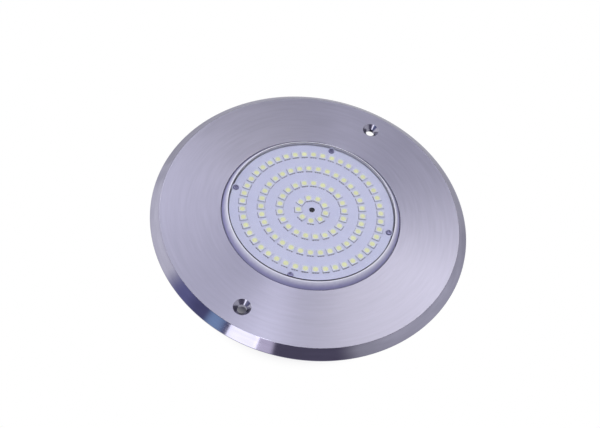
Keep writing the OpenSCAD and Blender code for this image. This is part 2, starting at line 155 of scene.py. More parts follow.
def height_of(tree: Tree, point: Socket) -> Socket:
    """Give a point's height."""
    return add_node(tree, "ShaderNodeSeparateXYZ", None, {0: point}).outputs["Z"]


def blend(tree: Tree, share: Socket, low: object, high: object) -> Socket:
    """Mix two colours, the second in the given share."""
    return add_node(tree, "ShaderNodeMix", {"data_type": "RGBA"}, {0: share, 6: low, 7: high}).outputs[2]


def fade(tree: Tree, value: Socket, low: float, high: float) -> Socket:
    """Rise softly from 0 to 1 between two values."""
    return add_node(tree, "ShaderNodeMapRange", {"interpolation_type": "SMOOTHSTEP"},
                    {"Value": value, "From Min": low, "From Max": high}).outputs[0]


class Grain(Enum):
    """How the small unevenness of a surface lies."""

    MOULDED = "alike in all directions"
    TURNED = "in lines round the light's axis"
    SPECKLED = "in separate specks"


@dataclass(frozen=True)
class Finish:
    """A surface: its colour, and the unevenness that its making leaves.

    Attributes:
        name: the material's common name and how it was made.
        colour: the colour in the hollows of the grain, sRGB hex.
        drift: the colour on the heights of the grain, sRGB hex.
        roughness: from the hollows to the heights.
        grain: how the unevenness lies.
        grain_mm: width of one grain, line or speck.
        relief_mm: height of the grain.
        sockets: other numbers for the shader, the same all over.
    """

    name: str
    colour: str
    drift: str
    roughness: tuple[float, float]
    grain: Grain = Grain.MOULDED
    grain_mm: float = 0.5
    relief_mm: float = 0.01
    sockets: Mapping[str, float] = field(default_factory=dict)

    def pattern(self, tree: Tree, point: Socket) -> Socket:
        """Draw the grain.

        Args:
            tree: the material's nodes.
            point: the place on the piece, in metres.

        Returns:
            A socket from 0 in the hollows to 1 on the heights.
        """
        per_metre = 1 / (self.grain_mm * MM)
        if self.grain is Grain.SPECKLED:
            return add_node(tree, "ShaderNodeTexVoronoi", None,
                            {"Vector": point, "Scale": per_metre}).outputs["Distance"]
        detail = {"Detail": 3.0, "Roughness": 0.6}
        if self.grain is Grain.MOULDED:
            return add_node(tree, "ShaderNodeTexNoise", None,
                            {"Vector": point, "Scale": per_metre, **detail}).outputs["Fac"]
        # Streaks are about a third of the radius long, and a line's width apart
        streaks = 3.0
        outward = from_axis(tree, point)
        across = number_math(tree, "ADD", distance(tree, outward), height_of(tree, point))
        lines = number_math(tree, "MULTIPLY", across, per_metre)
        rise = add_node(tree, "ShaderNodeCombineXYZ", None, {"Z": lines}).outputs[0]
        turn = vector_math(tree, "NORMALIZE", outward).outputs[0]
        place = vector_math(tree, "MULTIPLY_ADD", turn, (streaks, streaks, 0), rise).outputs[0]
        return add_node(tree, "ShaderNodeTexNoise", None,
                        {"Vector": place, "Scale": 1.0, **detail}).outputs["Fac"]

    def links(self, tree: Tree, point: Socket) -> dict:
        """Give what else the shader is linked to, by its input's name."""
        return {}

    def material(self) -> bpy.types.Material:
        """Make the material, or find it if it is made already.

        Returns:
            The material, named for what it is.
        """
        made = bpy.data.materials.get(self.name)
        if made:
            return made
        made = bpy.data.materials.new(self.name)
        tree = empty_tree(made)
        point = add_node(tree, "ShaderNodeTexCoord").outputs["Object"]
        height = self.pattern(tree, point)
        colour = blend(tree, height, linear(self.colour), linear(self.drift))
        rough = add_node(tree, "ShaderNodeMapRange", None,
                         {"Value": height, "To Min": self.roughness[0], "To Max": self.roughness[1]})
        bump = add_node(tree, "ShaderNodeBump", None,
                        {"Strength": 1.0, "Distance": self.relief_mm * MM, "Height": height})
        shader = add_node(tree, "ShaderNodeBsdfPrincipled", None, {
            "Base Color": colour, "Roughness": rough.outputs[0], "Normal": bump.outputs[0],
            **self.sockets, **self.links(tree, point),
        })
        add_node(tree, "ShaderNodeOutputMaterial", None, {"Surface": shader.outputs[0]})
        return made


class BrushedSteel(Finish):
    """Steel brushed in circles, which draws highlights out across the lines."""

    def links(self, tree: Tree, point: Socket) -> dict:
        """Point the shader's tangent away from the axis, across the brush lines."""
        return {"Tangent": from_axis(tree, point)}


class LensRimPaintedShade(Finish):
    """Satin plastic with painted shade: its colour darkens towards its foot, standing in for the shade behind a
    clear rim.
    """

    def pattern(self, tree: Tree, point: Socket) -> Socket:
        """Fade the painted shade from the foot of the slope to the top of the lens.

        Args:
            tree: the material's nodes.
            point: the place on the piece, in metres.

        Returns:
            A socket from 0 at the foot to 1 at the top.
        """
        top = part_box("front_lens")[1].z
        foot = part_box("face_ring")[1].z
        # The grain shifts the fade by up to a tenth of the slope
        waver = 0.1 * (top - foot)
        grain = add_node(tree, "ShaderNodeTexNoise", None,
                         {"Vector": point, "Scale": 1 / (self.grain_mm * MM), "Detail": 2.0})
        shift = add_node(tree, "ShaderNodeMapRange", None,
                         {"Value": grain.outputs["Fac"], "To Min": -waver, "To Max": waver})
        return fade(tree, number_math(tree, "ADD", height_of(tree, point), shift.outputs[0]), foot, top)


METAL = {"Metallic": 1.0}

# Stainless plate brushed in circles: satin, with lines too fine to see, drawn a little coarser to show
BRUSHED_PLATE = BrushedSteel(
    "stainless_steel_brushed", "aaa8bc", "c0bed2", (0.36, 0.44), Grain.TURNED, 2.0, 0.008,
    {**METAL, "Anisotropic": 0.85})
# The same steel turned and polished on the bevel: a near mirror with faint turning marks
POLISHED_STEEL = Finish(
    "stainless_steel_polished", "9c9aaa", "c4c2d2", (0.05, 0.10), Grain.TURNED, 1.2, 0.010, METAL)
# The same steel in the holes: tool marks blur what it mirrors
MACHINED_STEEL = Finish(
    "stainless_steel_machined", "a3a1b0", "b1afbe", (0.13, 0.20), Grain.TURNED, 0.8, 0.006, METAL)
# Stainless screws: bright, with a dull drawn skin
STEEL_SCREW = Finish("stainless_steel_drawn", "8e8d96", "a3a2ab", (0.26, 0.42), grain_mm=0.4, relief_mm=0.004,
                     sockets=METAL)
# Nickelled board screws: dark because they mirror the dark inside of the light
DARK_SCREW = Finish("nickelled_steel", "8785a2", "9c9ab6", (0.22, 0.36), grain_mm=0.4, relief_mm=0.004,
                    sockets=METAL)
# Moulded polycarbonate: clear and glossy, with the faint swim of a moulding
CLEAR_LENS = Finish(
    "polycarbonate_moulded_clear", "f4f4ff", "fafaff", (0.02, 0.05), grain_mm=12.0, relief_mm=0.01,
    sockets={"Transmission Weight": 1.0, "IOR": 1.585})
# The lens's rim, moulded satin: milky on top, with painted shade that darkens it down its slope
SATIN_RIM_PAINTED_SHADE = LensRimPaintedShade(
    "polycarbonate_satin_painted_shade", "9c9ac4", "eeeefa", (0.28, 0.38), grain_mm=3.0, relief_mm=0.01,
    sockets={"IOR": 1.585})
# The step round the window, painted dark: painted shade that draws the fine dark line of the shaded gap round the
# board
LENS_STEP_PAINTED_SHADE = Finish("polycarbonate_step_painted_shade", "2b2a3b", "3a394d", (0.30, 0.45), grain_mm=1.0, relief_mm=0.01)
# The lens's inner wall, moulded satin: a pale band beside the board
LENS_WALL = Finish("polycarbonate_satin_wall", "ececf8", "f6f6fd", (0.30, 0.40), grain_mm=3.0, relief_mm=0.01)
# White solder mask: even and slightly glossy, with a fine orange peel
SOLDER_MASK = Finish("solder_mask_white", "c3c6d9", "cccfdf", (0.30, 0.42), grain_mm=2.5, relief_mm=0.006)
# The aluminium core that shows at the board's edge and round its holes, drawn far darker than bare aluminium:
# painted shade for the gap round the board and its middle hole
BOARD_EDGE_PAINTED_SHADE = Finish("aluminium_sheared_painted_shade", "4a4a58", "5d5c6a", (0.40, 0.60), grain_mm=0.5, relief_mm=0.02,
                    sockets=METAL)
# LED package: white moulded plastic
LED_BODY = Finish("polyamide_white", "ced1d9", "d7dae2", (0.35, 0.50), grain_mm=0.3, relief_mm=0.004)
# Phosphor in clear resin: pale greenish yellow and grainy
PHOSPHOR = Finish("phosphor_in_resin", "dce19e", "e6eab0", (0.30, 0.45), Grain.SPECKLED, 0.25, 0.008)
# Tin solder: bright, soft-edged fillets that mirror the shade round them
SOLDER = Finish("tin_solder", "a2a1ac", "b8b7c1", (0.30, 0.45), grain_mm=0.3, relief_mm=0.01, sockets=METAL)
# Moulded ABS: black with a fine spark-eroded texture
HOUSING_ABS = Finish("abs_moulded_black", "36363a", "45454a", (0.42, 0.60), grain_mm=0.45, relief_mm=0.03)
# Moulded nylon: black, smoother and a little oilier than the housing
GLAND_NYLON = Finish("nylon_moulded_black", "313134", "3d3d41", (0.34, 0.46), grain_mm=0.7, relief_mm=0.015)
# Turned nylon: milky white with turning lines
WHITE_NYLON = Finish("nylon_turned_white", "d6d5cf", "e2e1db", (0.38, 0.50), Grain.TURNED, 0.4, 0.008)
# Nitrile rubber: dull black with a dusty bloom
RUBBER = Finish("nitrile_rubber_black", "262628", "343437", (0.60, 0.80), grain_mm=0.6, relief_mm=0.02)
# Silicone sheet: pale, soft and matt
SILICONE = Finish("silicone_sheet_pale", "cfcfd8", "dadae2", (0.50, 0.65), grain_mm=1.5, relief_mm=0.01)
# Filled silicone pad: grey blue with pale filler specks
THERMAL_PAD = Finish("silicone_filled_blue", "7d8fb0", "93a3bf", (0.65, 0.80), Grain.SPECKLED, 0.5, 0.02)
# Turned aluminium: grey with lines round the axis
TURNED_ALUMINIUM = Finish(
    "aluminium_turned", "9d9ea3", "b4b5ba", (0.28, 0.42), Grain.TURNED, 0.5, 0.006, METAL)
# Wire insulation: smooth black plastic
WIRE_SKIN = Finish("pvc_black", "121214", "1c1c1f", (0.30, 0.42), grain_mm=0.8, relief_mm=0.006)
# Green solder mask over woven glass
GREEN_LAMINATE = Finish("glass_laminate_green", "123f27", "1c5535", (0.28, 0.42), Grain.SPECKLED, 0.9, 0.012)
# Terminal block: moulded green nylon
GREEN_NYLON = Finish("nylon_moulded_green", "1d6b37", "2a7f45", (0.36, 0.50), grain_mm=0.5, relief_mm=0.012)
# Moulded epoxy packages: matt black with a sandy skin
EPOXY = Finish("epoxy_moulded_black", "161617", "232325", (0.55, 0.70), grain_mm=0.25, relief_mm=0.012)
# Pressed ferrite: dark grey and gritty
FERRITE = Finish("ferrite_pressed", "2c2c2f", "3c3c40", (0.55, 0.75), Grain.SPECKLED, 0.35, 0.02)
# Enamelled copper wire: glossy red brown metal
COPPER_WIRE = Finish("copper_enamelled", "8f4a22", "a85f31", (0.22, 0.34), grain_mm=0.5, relief_mm=0.004,
                     sockets=METAL)
# Shrunk sleeve on a capacitor: dark blue film, slightly rippled
SLEEVE = Finish("shrink_film_blue", "10142e", "1a2040", (0.22, 0.34), grain_mm=2.0, relief_mm=0.02)


@dataclass(frozen=True)
class Corner:
    """A corner of a turned section.

    Attributes:
        r: distance from the axis.
        z: height above the wall.
        soft: how far its rounding reaches along each side.
    """

    r: float
    z: float
    soft: float = 0.0

    def meets(self, vert: Vert) -> bool:
        """Tell whether a point lies on the ring that this corner turns into."""
        near = 0.001 * MM
        return abs(vert.co.xy.length - self.r * MM) < near and abs(vert.co.z - self.z * MM) < near


class Join(Enum):
    """What is done with a tool's shape."""

    CUT = "DIFFERENCE"
    ADD = "UNION"
    SHARE = "INTERSECT"


def soften(bm: Mesh, edges: Sequence[bmesh.types.BMEdge], size: float, segments: int = 3) -> None:
    """Round edges off.

    Args:
        bm: the mesh.
        edges: the edges to round.
        size: how far the rounding reaches along each side, in millimetres.
        segments: faces across the rounding.
    """
    bmesh.ops.bevel(bm, geom=list(edges), offset=size * MM, offset_type="OFFSET", segments=segments,
                    profile=0.5, affect="EDGES", material=-1, clamp_overlap=True)


def turned(corners: Sequence[Corner], steps: int = 192) -> Mesh:
    """Turn a section round the Z axis and round its corners off.

    Args:
        corners: the section, in order. It is closed unless it starts and ends on the axis.
        steps: faces round the axis.

    Returns:
        A closed mesh.
    """
    bm = bmesh.new()
    verts = [bm.verts.new((c.r * MM, 0, c.z * MM)) for c in corners]
    pairs = list(zip(verts, verts[1:]))
    if corners[0].r > 0:
        pairs.append((verts[-1], verts[0]))
    edges = [bm.edges.new(pair) for pair in pairs]
    bmesh.ops.spin(bm, geom=verts + edges, cent=(0, 0, 0), axis=(0, 0, 1), angle=FULL_TURN, steps=steps,
                   use_merge=True)
    bmesh.ops.remove_doubles(bm, verts=bm.verts, dist=MERGE)
    bmesh.ops.recalc_face_normals(bm, faces=bm.faces)
    for corner in corners:
        if corner.soft > 0:
            ring = [e for e in bm.edges if all(corner.meets(v) for v in e.verts)]
            soften(bm, ring, corner.soft)
    return bm


def tube(outer: float, inner: float, low: float, high: float, soft: float = 0.0,
         steps: int = 96) -> Mesh:
    """Turn a plain ring.

    Args:
        outer: outside radius.
        inner: inside radius.
        low: height of its lower face.
        high: height of its upper face.
        soft: rounding of its four edges.
        steps: faces round the axis.

    Returns:
        A closed mesh.
    """
    return turned([Corner(inner, low, soft), Corner(outer, low, soft), Corner(outer, high, soft),
                   Corner(inner, high, soft)], steps)


def rod(radius: float, low: float, high: float, steps: int = 48) -> Mesh:
    """Turn a plain cylinder between two heights."""
    return turned([Corner(0, low), Corner(radius, low), Corner(radius, high), Corner(0, high)], steps)


def block(bm: Mesh, size: Sequence[float], middle: Sequence[float]) -> list[Vert]:
    """Add a box to a mesh.

    Args:
        bm: the mesh.
        size: its length along each axis.
        middle: its middle.

    Returns:
        Its corners.
    """
    made = bmesh.ops.create_cube(bm, size=1.0)["verts"]
    bmesh.ops.scale(bm, vec=Vector(size) * MM, verts=made)
    bmesh.ops.translate(bm, vec=Vector(middle) * MM, verts=made)
    return made


def thicken(bm: Mesh, way: Sequence[float]) -> None:
    """Make a solid of a flat face.

    Args:
        bm: the mesh, which holds only the face.
        way: how far the face is pushed along each axis.
    """
    grown = bmesh.ops.extrude_face_region(bm, geom=list(bm.faces), use_keep_orig=True)["geom"]
    moved = [v for v in grown if isinstance(v, Vert)]
    bmesh.ops.translate(bm, vec=Vector(way) * MM, verts=moved)
    bmesh.ops.recalc_face_normals(bm, faces=bm.faces)


def hexagon(key: float, low: float, high: float, soft: float = 0.0) -> Mesh:
    """Make a hexagon bar.

    Args:
        key: size across the flats.
        low: height of its lower face.
        high: height of its upper face.
        soft: rounding of its upright edges.

    Returns:
        A closed mesh.
    """
    bm = bmesh.new()
    bmesh.ops.create_circle(bm, cap_ends=True, segments=6, radius=key / math.sqrt(3) * MM)
    bmesh.ops.translate(bm, vec=(0, 0, low * MM), verts=bm.verts)
    thicken(bm, (0, 0, high - low))
    if soft > 0:
        soften(bm, [e for e in bm.edges if abs(e.verts[0].co.z - e.verts[1].co.z) > MERGE], soft)
    return bm


def around(count: int, radius: float, turn: float = 0.0, height: float = 0.0) -> list[Matrix]:
    """Give evenly spaced places round the axis.

    Args:
        count: number of places.
        radius: distance from the axis.
        turn: direction of the first one, in degrees from +X.
        height: height above the wall.

    Returns:
        One placing matrix each, with X pointing away from the axis.
    """
    out = Matrix.Translation((radius * MM, 0, height * MM))
    return [Matrix.Rotation(math.radians(turn) + FULL_TURN * k / count, 4, "Z") @ out for k in range(count)]


def copies(source: Mesh, places: Iterable[Matrix]) -> Mesh:
    """Repeat a shape, and free the original.

    Args:
        source: the shape, made at the origin.
        places: where each copy goes.

    Returns:
        One mesh with all the copies.
    """
    together = bmesh.new()
    store = bpy.data.meshes.new("copy")
    for place in places:
        one = source.copy()
        bmesh.ops.transform(one, matrix=place, verts=one.verts)
        one.to_mesh(store)
        one.free()
        together.from_mesh(store)
    source.free()
    bpy.data.meshes.remove(store)
    return together


def to_object(bm: Mesh, name: str) -> Piece:
    """Put a mesh into the scene as an object at the origin, and free it.

    Args:
        bm: the mesh.
        name: the object's name.

    Returns:
        The object.
    """
    mesh = bpy.data.meshes.new(name)
    bm.to_mesh(mesh)
    bm.free()
    piece = bpy.data.objects.new(name, mesh)
    bpy.context.scene.collection.objects.link(piece)
    return piece


def from_object(piece: Piece) -> Mesh:
    """Take an object out of the scene again, as a mesh.

    Args:
        piece: the object, which is removed.

    Returns:
        Its mesh.
    """
    bm = bmesh.new()
    bm.from_mesh(piece.data)
    bpy.data.meshes.remove(piece.data)
    return bm


def combine(piece: Piece, tool: Mesh, how: Join) -> None:
    """Cut a tool's shape out of a piece, add it on, or keep what both share.

    Args:
        piece: the piece, whose mesh is replaced by the result.
        tool: the tool's mesh, which is used up.
        how: what is done with it.
    """
    other = to_object(tool, "tool")
    step = piece.modifiers.new(how.name, "BOOLEAN")
    step.operation = how.value
    step.solver = "EXACT"
    step.object = other
    bpy.context.view_layer.update()
    result = bpy.data.meshes.new_from_object(piece.evaluated_get(bpy.context.evaluated_depsgraph_get()))
    piece.modifiers.clear()
    old, piece.data = piece.data, result
    for used in (old, other.data):
        bpy.data.meshes.remove(used)
    result.name = piece.name


class SubAssembly:
    """Pieces that are built and dressed together."""

    def build(self) -> None:
        """Make the pieces, where the solids don't serve as they are."""

    def keep(self, finish: Finish, *nodes: str) -> None:
        """Leave the shape of solids as it is, and give them a finish.

        Args:
            finish: the finish.
            nodes: the solids' names.
        """
        for node in nodes:
            for slot in frame["nodes"][node].material_slots:
                slot.material = finish.material()
            LOG.info("%s keeps its solid, in %s", node, finish.name)

    def place(self, piece: Piece, slot: str, finishes: Sequence[Finish],
              paint: Callable[[Face], Enum] | None = None, body: str = "light") -> None:
        """Dress a piece and set it in the frame, in place of the solid of the same name.

        Args:
            piece: the piece, named for the solid that it stands for.
            slot: the record's material slot; not used.
            finishes: its finishes.
            paint: tells which finish a face has, where the faces differ.
            body: the body that it moves with.
        """
        bm = bmesh.new()
        bm.from_mesh(piece.data)
        bmesh.ops.remove_doubles(bm, verts=bm.verts, dist=MERGE)
        piece.data.materials.clear()
        for finish in finishes:
            piece.data.materials.append(finish.material())
        for face in bm.faces:
            face.smooth = True
            if paint:
                face.material_index = paint(face).value
        for edge in bm.edges:
            edge.smooth = len(edge.link_faces) == 2 and edge.calc_face_angle() < math.radians(CRISP)
        bm.to_mesh(piece.data)
        bm.free()
        even = piece.modifiers.new("even_shading", "WEIGHTED_NORMAL")
        even.keep_sharp = True
        node = piece.name.removeprefix("seen_")
        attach(piece, body)
        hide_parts(node)
        LOG.info("%s stands for %s, in %s", piece.name, node, ", ".join(f.name for f in finishes))


def reach(node: str) -> tuple[float, float, float]:
    """Give a solid's outside radius, lowest and highest point, in millimetres."""
    low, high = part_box(node)
    return high.x / MM, low.z / MM, high.z / MM


@dataclass
class PanScrew:
    """A screw with a low domed head and a crossed recess.

    Attributes:
        thread_r: radius of its thread.
        head_r: radius of its head.
        head_h: height of its head.
        length: from under the head to the tip.
        tip: length of the tip's cone, as a share of the thread's radius.
        side: upright side of the head, as a share of its height.
        crown: radius where the dome flattens, as a share of the head's.
        crown_soft: rounding there, as a share of the head's height.
        recess_w: width of the recess's arms, as a share of the head's radius.
        recess_r: reach of the recess, as a share of the head's radius.
        recess_t: depth of the recess, as a share of the head's height.
    """

    thread_r: float
    head_r: float
    head_h: float
    length: float
    tip: float = 0.3
    side: float = 0.35
    crown: float = 0.8
    crown_soft: float = 0.3
    recess_w: float = 1 / 3
    recess_r: float = 0.6
    recess_t: float = 0.55

    def shape(self) -> Mesh:
        """Turn the screw, with its head standing on the wall plane.

        Returns:
            Its mesh.
        """
        tip = self.thread_r * self.tip
        return turned([
            Corner(0, -self.length), Corner(self.thread_r - tip, -self.length),
            Corner(self.thread_r, -self.length + tip), Corner(self.thread_r, 0),
            Corner(self.head_r, 0), Corner(self.head_r, self.head_h * self.side),
            Corner(self.head_r * self.crown, self.head_h, self.head_h * self.crown_soft),
            Corner(0, self.head_h),
        ], steps=32)

    def recess(self) -> Mesh:
        """Make the crossed tool that is cut out of the head.

        Returns:
            The tool's mesh.
        """
        width = self.head_r * self.recess_w
        arm = self.head_r * self.recess_r - width / 2
        bm = bmesh.new()
        block(bm, (width, width, 2 * self.head_h * self.recess_t), (0, 0, self.head_h))
        sides = [f for f in bm.faces if abs(f.normal.z) < LEVEL]
        for side in bmesh.ops.extrude_discrete_faces(bm, faces=sides)["faces"]:
            bmesh.ops.translate(bm, vec=side.normal * arm * MM, verts=side.verts)
        return bm

    def group(self, name: str, places: Sequence[Matrix]) -> Piece:
        """Make several screws as one piece.

        Args:
            name: the piece's name.
            places: where each screw's head stands.

        Returns:
            The piece.
        """
        piece = to_object(copies(self.shape(), places), name)
        combine(piece, copies(self.recess(), places), Join.CUT)
        return piece


@dataclass(frozen=True)
class ClampCircle:
    """The screws between the ring and the housing, and the height at which the two meet."""

    radius: float = 76.0
    count: int = 8
    seat_z: float = 0.8

    def places(self) -> list[Matrix]:
        """Give the middles of the screws."""
        return around(self.count, self.radius)


class RingFace(Enum):
    """The finishes of the face ring, in order."""

    PLATE = 0
    BEVEL = 1
    HOLE = 2


@dataclass
class FaceRing(SubAssembly):
    """The bevelled steel ring on the pool wall, with its two countersunk fixing holes."""

    bore_r: float = 65.0
    lip_round: float = 0.3
    recess_r: float = 71.0
    recess_z: float = 3.6
    seat_r: float = 81.3
    bevel_w: float = 6.6
    rim_land: float = 0.6
    edge_break: float = 0.15
    countersink_r: float = 6.2
    tap_r: float = 2.0
    tap_z: float = 4.6
    clamps: ClampCircle = ClampCircle()

    def build(self) -> None:
        """Turn the ring and cut its holes."""
        outer, low, top = reach("face_ring")
        fine, seat = self.edge_break, self.clamps.seat_z
        self.bevel_r = outer - self.bevel_w
        self.ring = to_object(turned([
            Corner(self.recess_r, seat), Corner(self.seat_r, seat), Corner(self.seat_r, low, fine),
            Corner(outer, low, fine), Corner(outer, self.rim_land, fine),
            Corner(self.bevel_r, top, fine), Corner(self.bore_r, top, self.lip_round),
            Corner(self.bore_r, self.recess_z), Corner(self.recess_r, self.recess_z),
        ], steps=288), "seen_face_ring")
        fixing = next(m for m in frame["record"]["mounts"] if m["name"] == "fixing_holes")["dims"]
        hole_r = fixing["hole_r_mm"]
        hole = turned([
            Corner(0, low - SPARE), Corner(hole_r, low - SPARE),
            Corner(hole_r, top - (self.countersink_r - hole_r)),
            Corner(self.countersink_r + SPARE, top + SPARE), Corner(0, top + SPARE),
        ], steps=72)
        places = around(fixing["count"], fixing["spacing_y_mm"] / 2, turn=90)
        combine(self.ring, copies(hole, places), Join.CUT)
        tap = rod(self.tap_r, low - SPARE, self.tap_z, steps=24)
        combine(self.ring, copies(tap, self.clamps.places()), Join.CUT)

    def dress(self) -> None:
        """Brush the flat faces and polish the bevel."""
        self.place(self.ring, "stainless_face", [BRUSHED_PLATE, POLISHED_STEEL, MACHINED_STEEL], self.part_of)

    def part_of(self, face: Face) -> RingFace:
        """Tell the flat faces from the bevel and the holes.

        Args:
            face: a face of the ring.

        Returns:
            Which part of the ring it is on.
        """
        if abs(face.normal.z) > LEVEL:
            return RingFace.PLATE
        outside = face.calc_center_median().xy.length / MM > self.bevel_r - self.edge_break
        return RingFace.BEVEL if outside else RingFace.HOLE


class LensFace(Enum):
    """The finishes of the lens, in order."""

    WINDOW = 0
    RIM = 1
    STEP = 2
    WALL = 3


@dataclass
class Lens(SubAssembly):
    """The clear lens, with its sloping shoulder and the flange that is held behind the ring."""

    outer_r: float = 64.6
    inner_r: float = 60.7
    slope_w: float = 3.9
    slope_z: float = 5.0
    shoulder_soft: float = 0.5
    window_t: float = 2.6
    inner_soft: float = 0.4
    flange_t: float = 2.0
    edge_break: float = 0.2
    step_h: float = 0.6
    rim_w: float = 0.65

    def build(self) -> None:
        """Turn the lens."""
        flange_r, foot, top = reach("front_lens")
        self.top = top
        self.under = top - self.window_t
        fine = self.edge_break
        rim_top = top - self.step_h
        # Where the slope passes the rim's height
        edge = self.outer_r - self.slope_w * (rim_top - self.slope_z) / (top - self.slope_z)
        self.step_r = edge - self.rim_w
        self.lens = to_object(turned([
            Corner(0, top), Corner(self.step_r - self.step_h, top), Corner(self.step_r, rim_top),
            Corner(edge, rim_top, self.shoulder_soft),
            Corner(self.outer_r, self.slope_z, fine), Corner(self.outer_r, foot + self.flange_t),
            Corner(flange_r, foot + self.flange_t, fine), Corner(flange_r, foot, fine),
            Corner(self.inner_r, foot, fine), Corner(self.inner_r, self.under, self.inner_soft),
            Corner(0, self.under),
        ], steps=256), "seen_front_lens")

    def part_of(self, face: Face) -> LensFace:
        """Tell the window from its rim, the step between them and the inner wall.

        Args:
            face: a face of the lens.

        Returns:
            Which part of the lens it is on.
        """
        middle = face.calc_center_median()
        radius, height = middle.xy.length / MM, middle.z / MM
        near = 0.5 * self.step_h
        if abs(radius + near - self.step_r) < near and abs(self.top - near - height) < near:
            return LensFace.STEP
        if self.inner_r - self.inner_soft < radius < self.inner_r + self.edge_break and height < self.under:
            return LensFace.WALL
        outside = radius > self.step_r and height > self.slope_z - self.edge_break
        return LensFace.RIM if outside else LensFace.WINDOW

    def dress(self) -> None:
        """Make the lens clear, and let lamplight through it to the board."""
        # The rim's darkening down its slope and the dark step are painted shade
        self.place(self.lens, "clear_lens", [CLEAR_LENS, SATIN_RIM_PAINTED_SHADE, LENS_STEP_PAINTED_SHADE, LENS_WALL], self.part_of)
        self.lens.visible_shadow = False
        self.keep(SILICONE, "front_gasket")
        self.keep(RUBBER, "housing_seal")


class BoardFace(Enum):
    """The finishes of the LED board, in order."""

    MASK = 0
    EDGE = 1


class LedFace(Enum):
    """The finishes of an LED, in order."""

    BODY = 0
    PHOSPHOR = 1
    SOLDER = 2


@dataclass
class LedBoard(SubAssembly):
    """The round white board, its four rings of LEDs and its four screws."""

    board_r: float = 59.6
    hole_r: float = 2.0
    edge_soft: float = 0.12
    screw_count: int = 4
    screw_r: float = 57.3
    screw_hole_r: float = 1.45
    screw_thread_r: float = 1.25
    screw_head_r: float = 2.25
    screw_head_h: float = 1.0
    ear_r: float = 3.2
    turn: float = 104.7
    led_side: float = 5.0
    window_r: float = 1.85
    led_sink: float = 0.06
    lead_w: float = 1.1
    lead_pitch: float = 1.7
    solder_out: float = 0.45
    solder_h: float = 0.5
    solder_drop: float = 0.4
    outer_ring_r: float = 50.13
    counts: tuple[int, ...] = (9, 21, 33, 45)
    phases: tuple[float, ...] = (30.2, 12.2, 7.8, 5.7)

    def led(self, height: float) -> Mesh:
        """Make one LED on the wall plane, with a round window and three soldered leads at each end.

        Args:
            height: height of the package.

        Returns:
            Its mesh.
        """
        bm = bmesh.new()
        block(bm, (self.led_side, self.led_side, height), (0, 0, height / 2))
        body = to_object(bm, "led")
        sunk = height - self.led_sink
        combine(body, rod(self.window_r, sunk, height + self.led_sink, steps=24), Join.CUT)
        bm = from_object(body)
        for face in bm.faces:
            if face.normal.z > UPWARD and abs(face.calc_center_median().z - sunk * MM) < MERGE:
                face.material_index = LedFace.PHOSPHOR.value
        for side, lead in product((-1, 1), (-1, 0, 1)):
            out = side * (self.led_side + self.solder_out) / 2
            middle = Vector((out, lead * self.lead_pitch, self.solder_h / 2))
            made = block(bm, (self.solder_out, self.lead_w, self.solder_h), middle)
            slope = [v for v in made if v.co.x * side > middle.x * side * MM and v.co.z > middle.z * MM]
            bmesh.ops.translate(bm, vec=(0, 0, -self.solder_drop * MM), verts=slope)
            for face in {f for v in made for f in v.link_faces}:
                face.material_index = LedFace.SOLDER.value
        return bm

    def build(self) -> None:
        """Cut the board, set the LEDs on it and screw it down."""
        _, low, top = reach("led_board")
        disc = tube(self.board_r, self.hole_r, low, top, self.edge_soft, steps=256)
        self.board = to_object(disc, "seen_led_board")
        places = around(self.screw_count, self.screw_r, self.turn)
        combine(self.board, copies(rod(self.ear_r, low, top), places), Join.ADD)
        combine(self.board, copies(rod(self.screw_hole_r, low - SPARE, top + SPARE), places), Join.CUT)
        self.rings = []
        for k, (count, phase) in enumerate(zip(self.counts, self.phases), start=1):
            node = f"led_ring_{k}"
            _, led_low, led_high = reach(node)
            radius = self.outer_ring_r * count / self.counts[-1]
            spots = around(count, radius, self.turn + phase, led_low)
            self.rings.append(to_object(copies(self.led(led_high - led_low), spots), f"seen_{node}"))
        _, tip, crown = reach("board_screws")
        under = crown - self.screw_head_h
        screw = PanScrew(self.screw_thread_r, self.screw_head_r, self.screw_head_h, length=under - tip)
        heads = around(self.screw_count, self.screw_r, self.turn, under)
        self.screws = screw.group("seen_board_screws", heads)

    def dress(self) -> None:
        """Give the board its white mask, the LEDs their phosphor and the screws their steel."""
        # The board's upright faces take the dark aluminium, whose colour is painted shade
        self.place(self.board, "white_solder_mask", [SOLDER_MASK, BOARD_EDGE_PAINTED_SHADE],
                   lambda face: BoardFace.EDGE if face.normal.z < UPWARD else BoardFace.MASK)
        for ring in self.rings:
            self.place(ring, "led_package", [LED_BODY, PHOSPHOR, SOLDER])
        self.place(self.screws, "steel_fasteners", [DARK_SCREW])


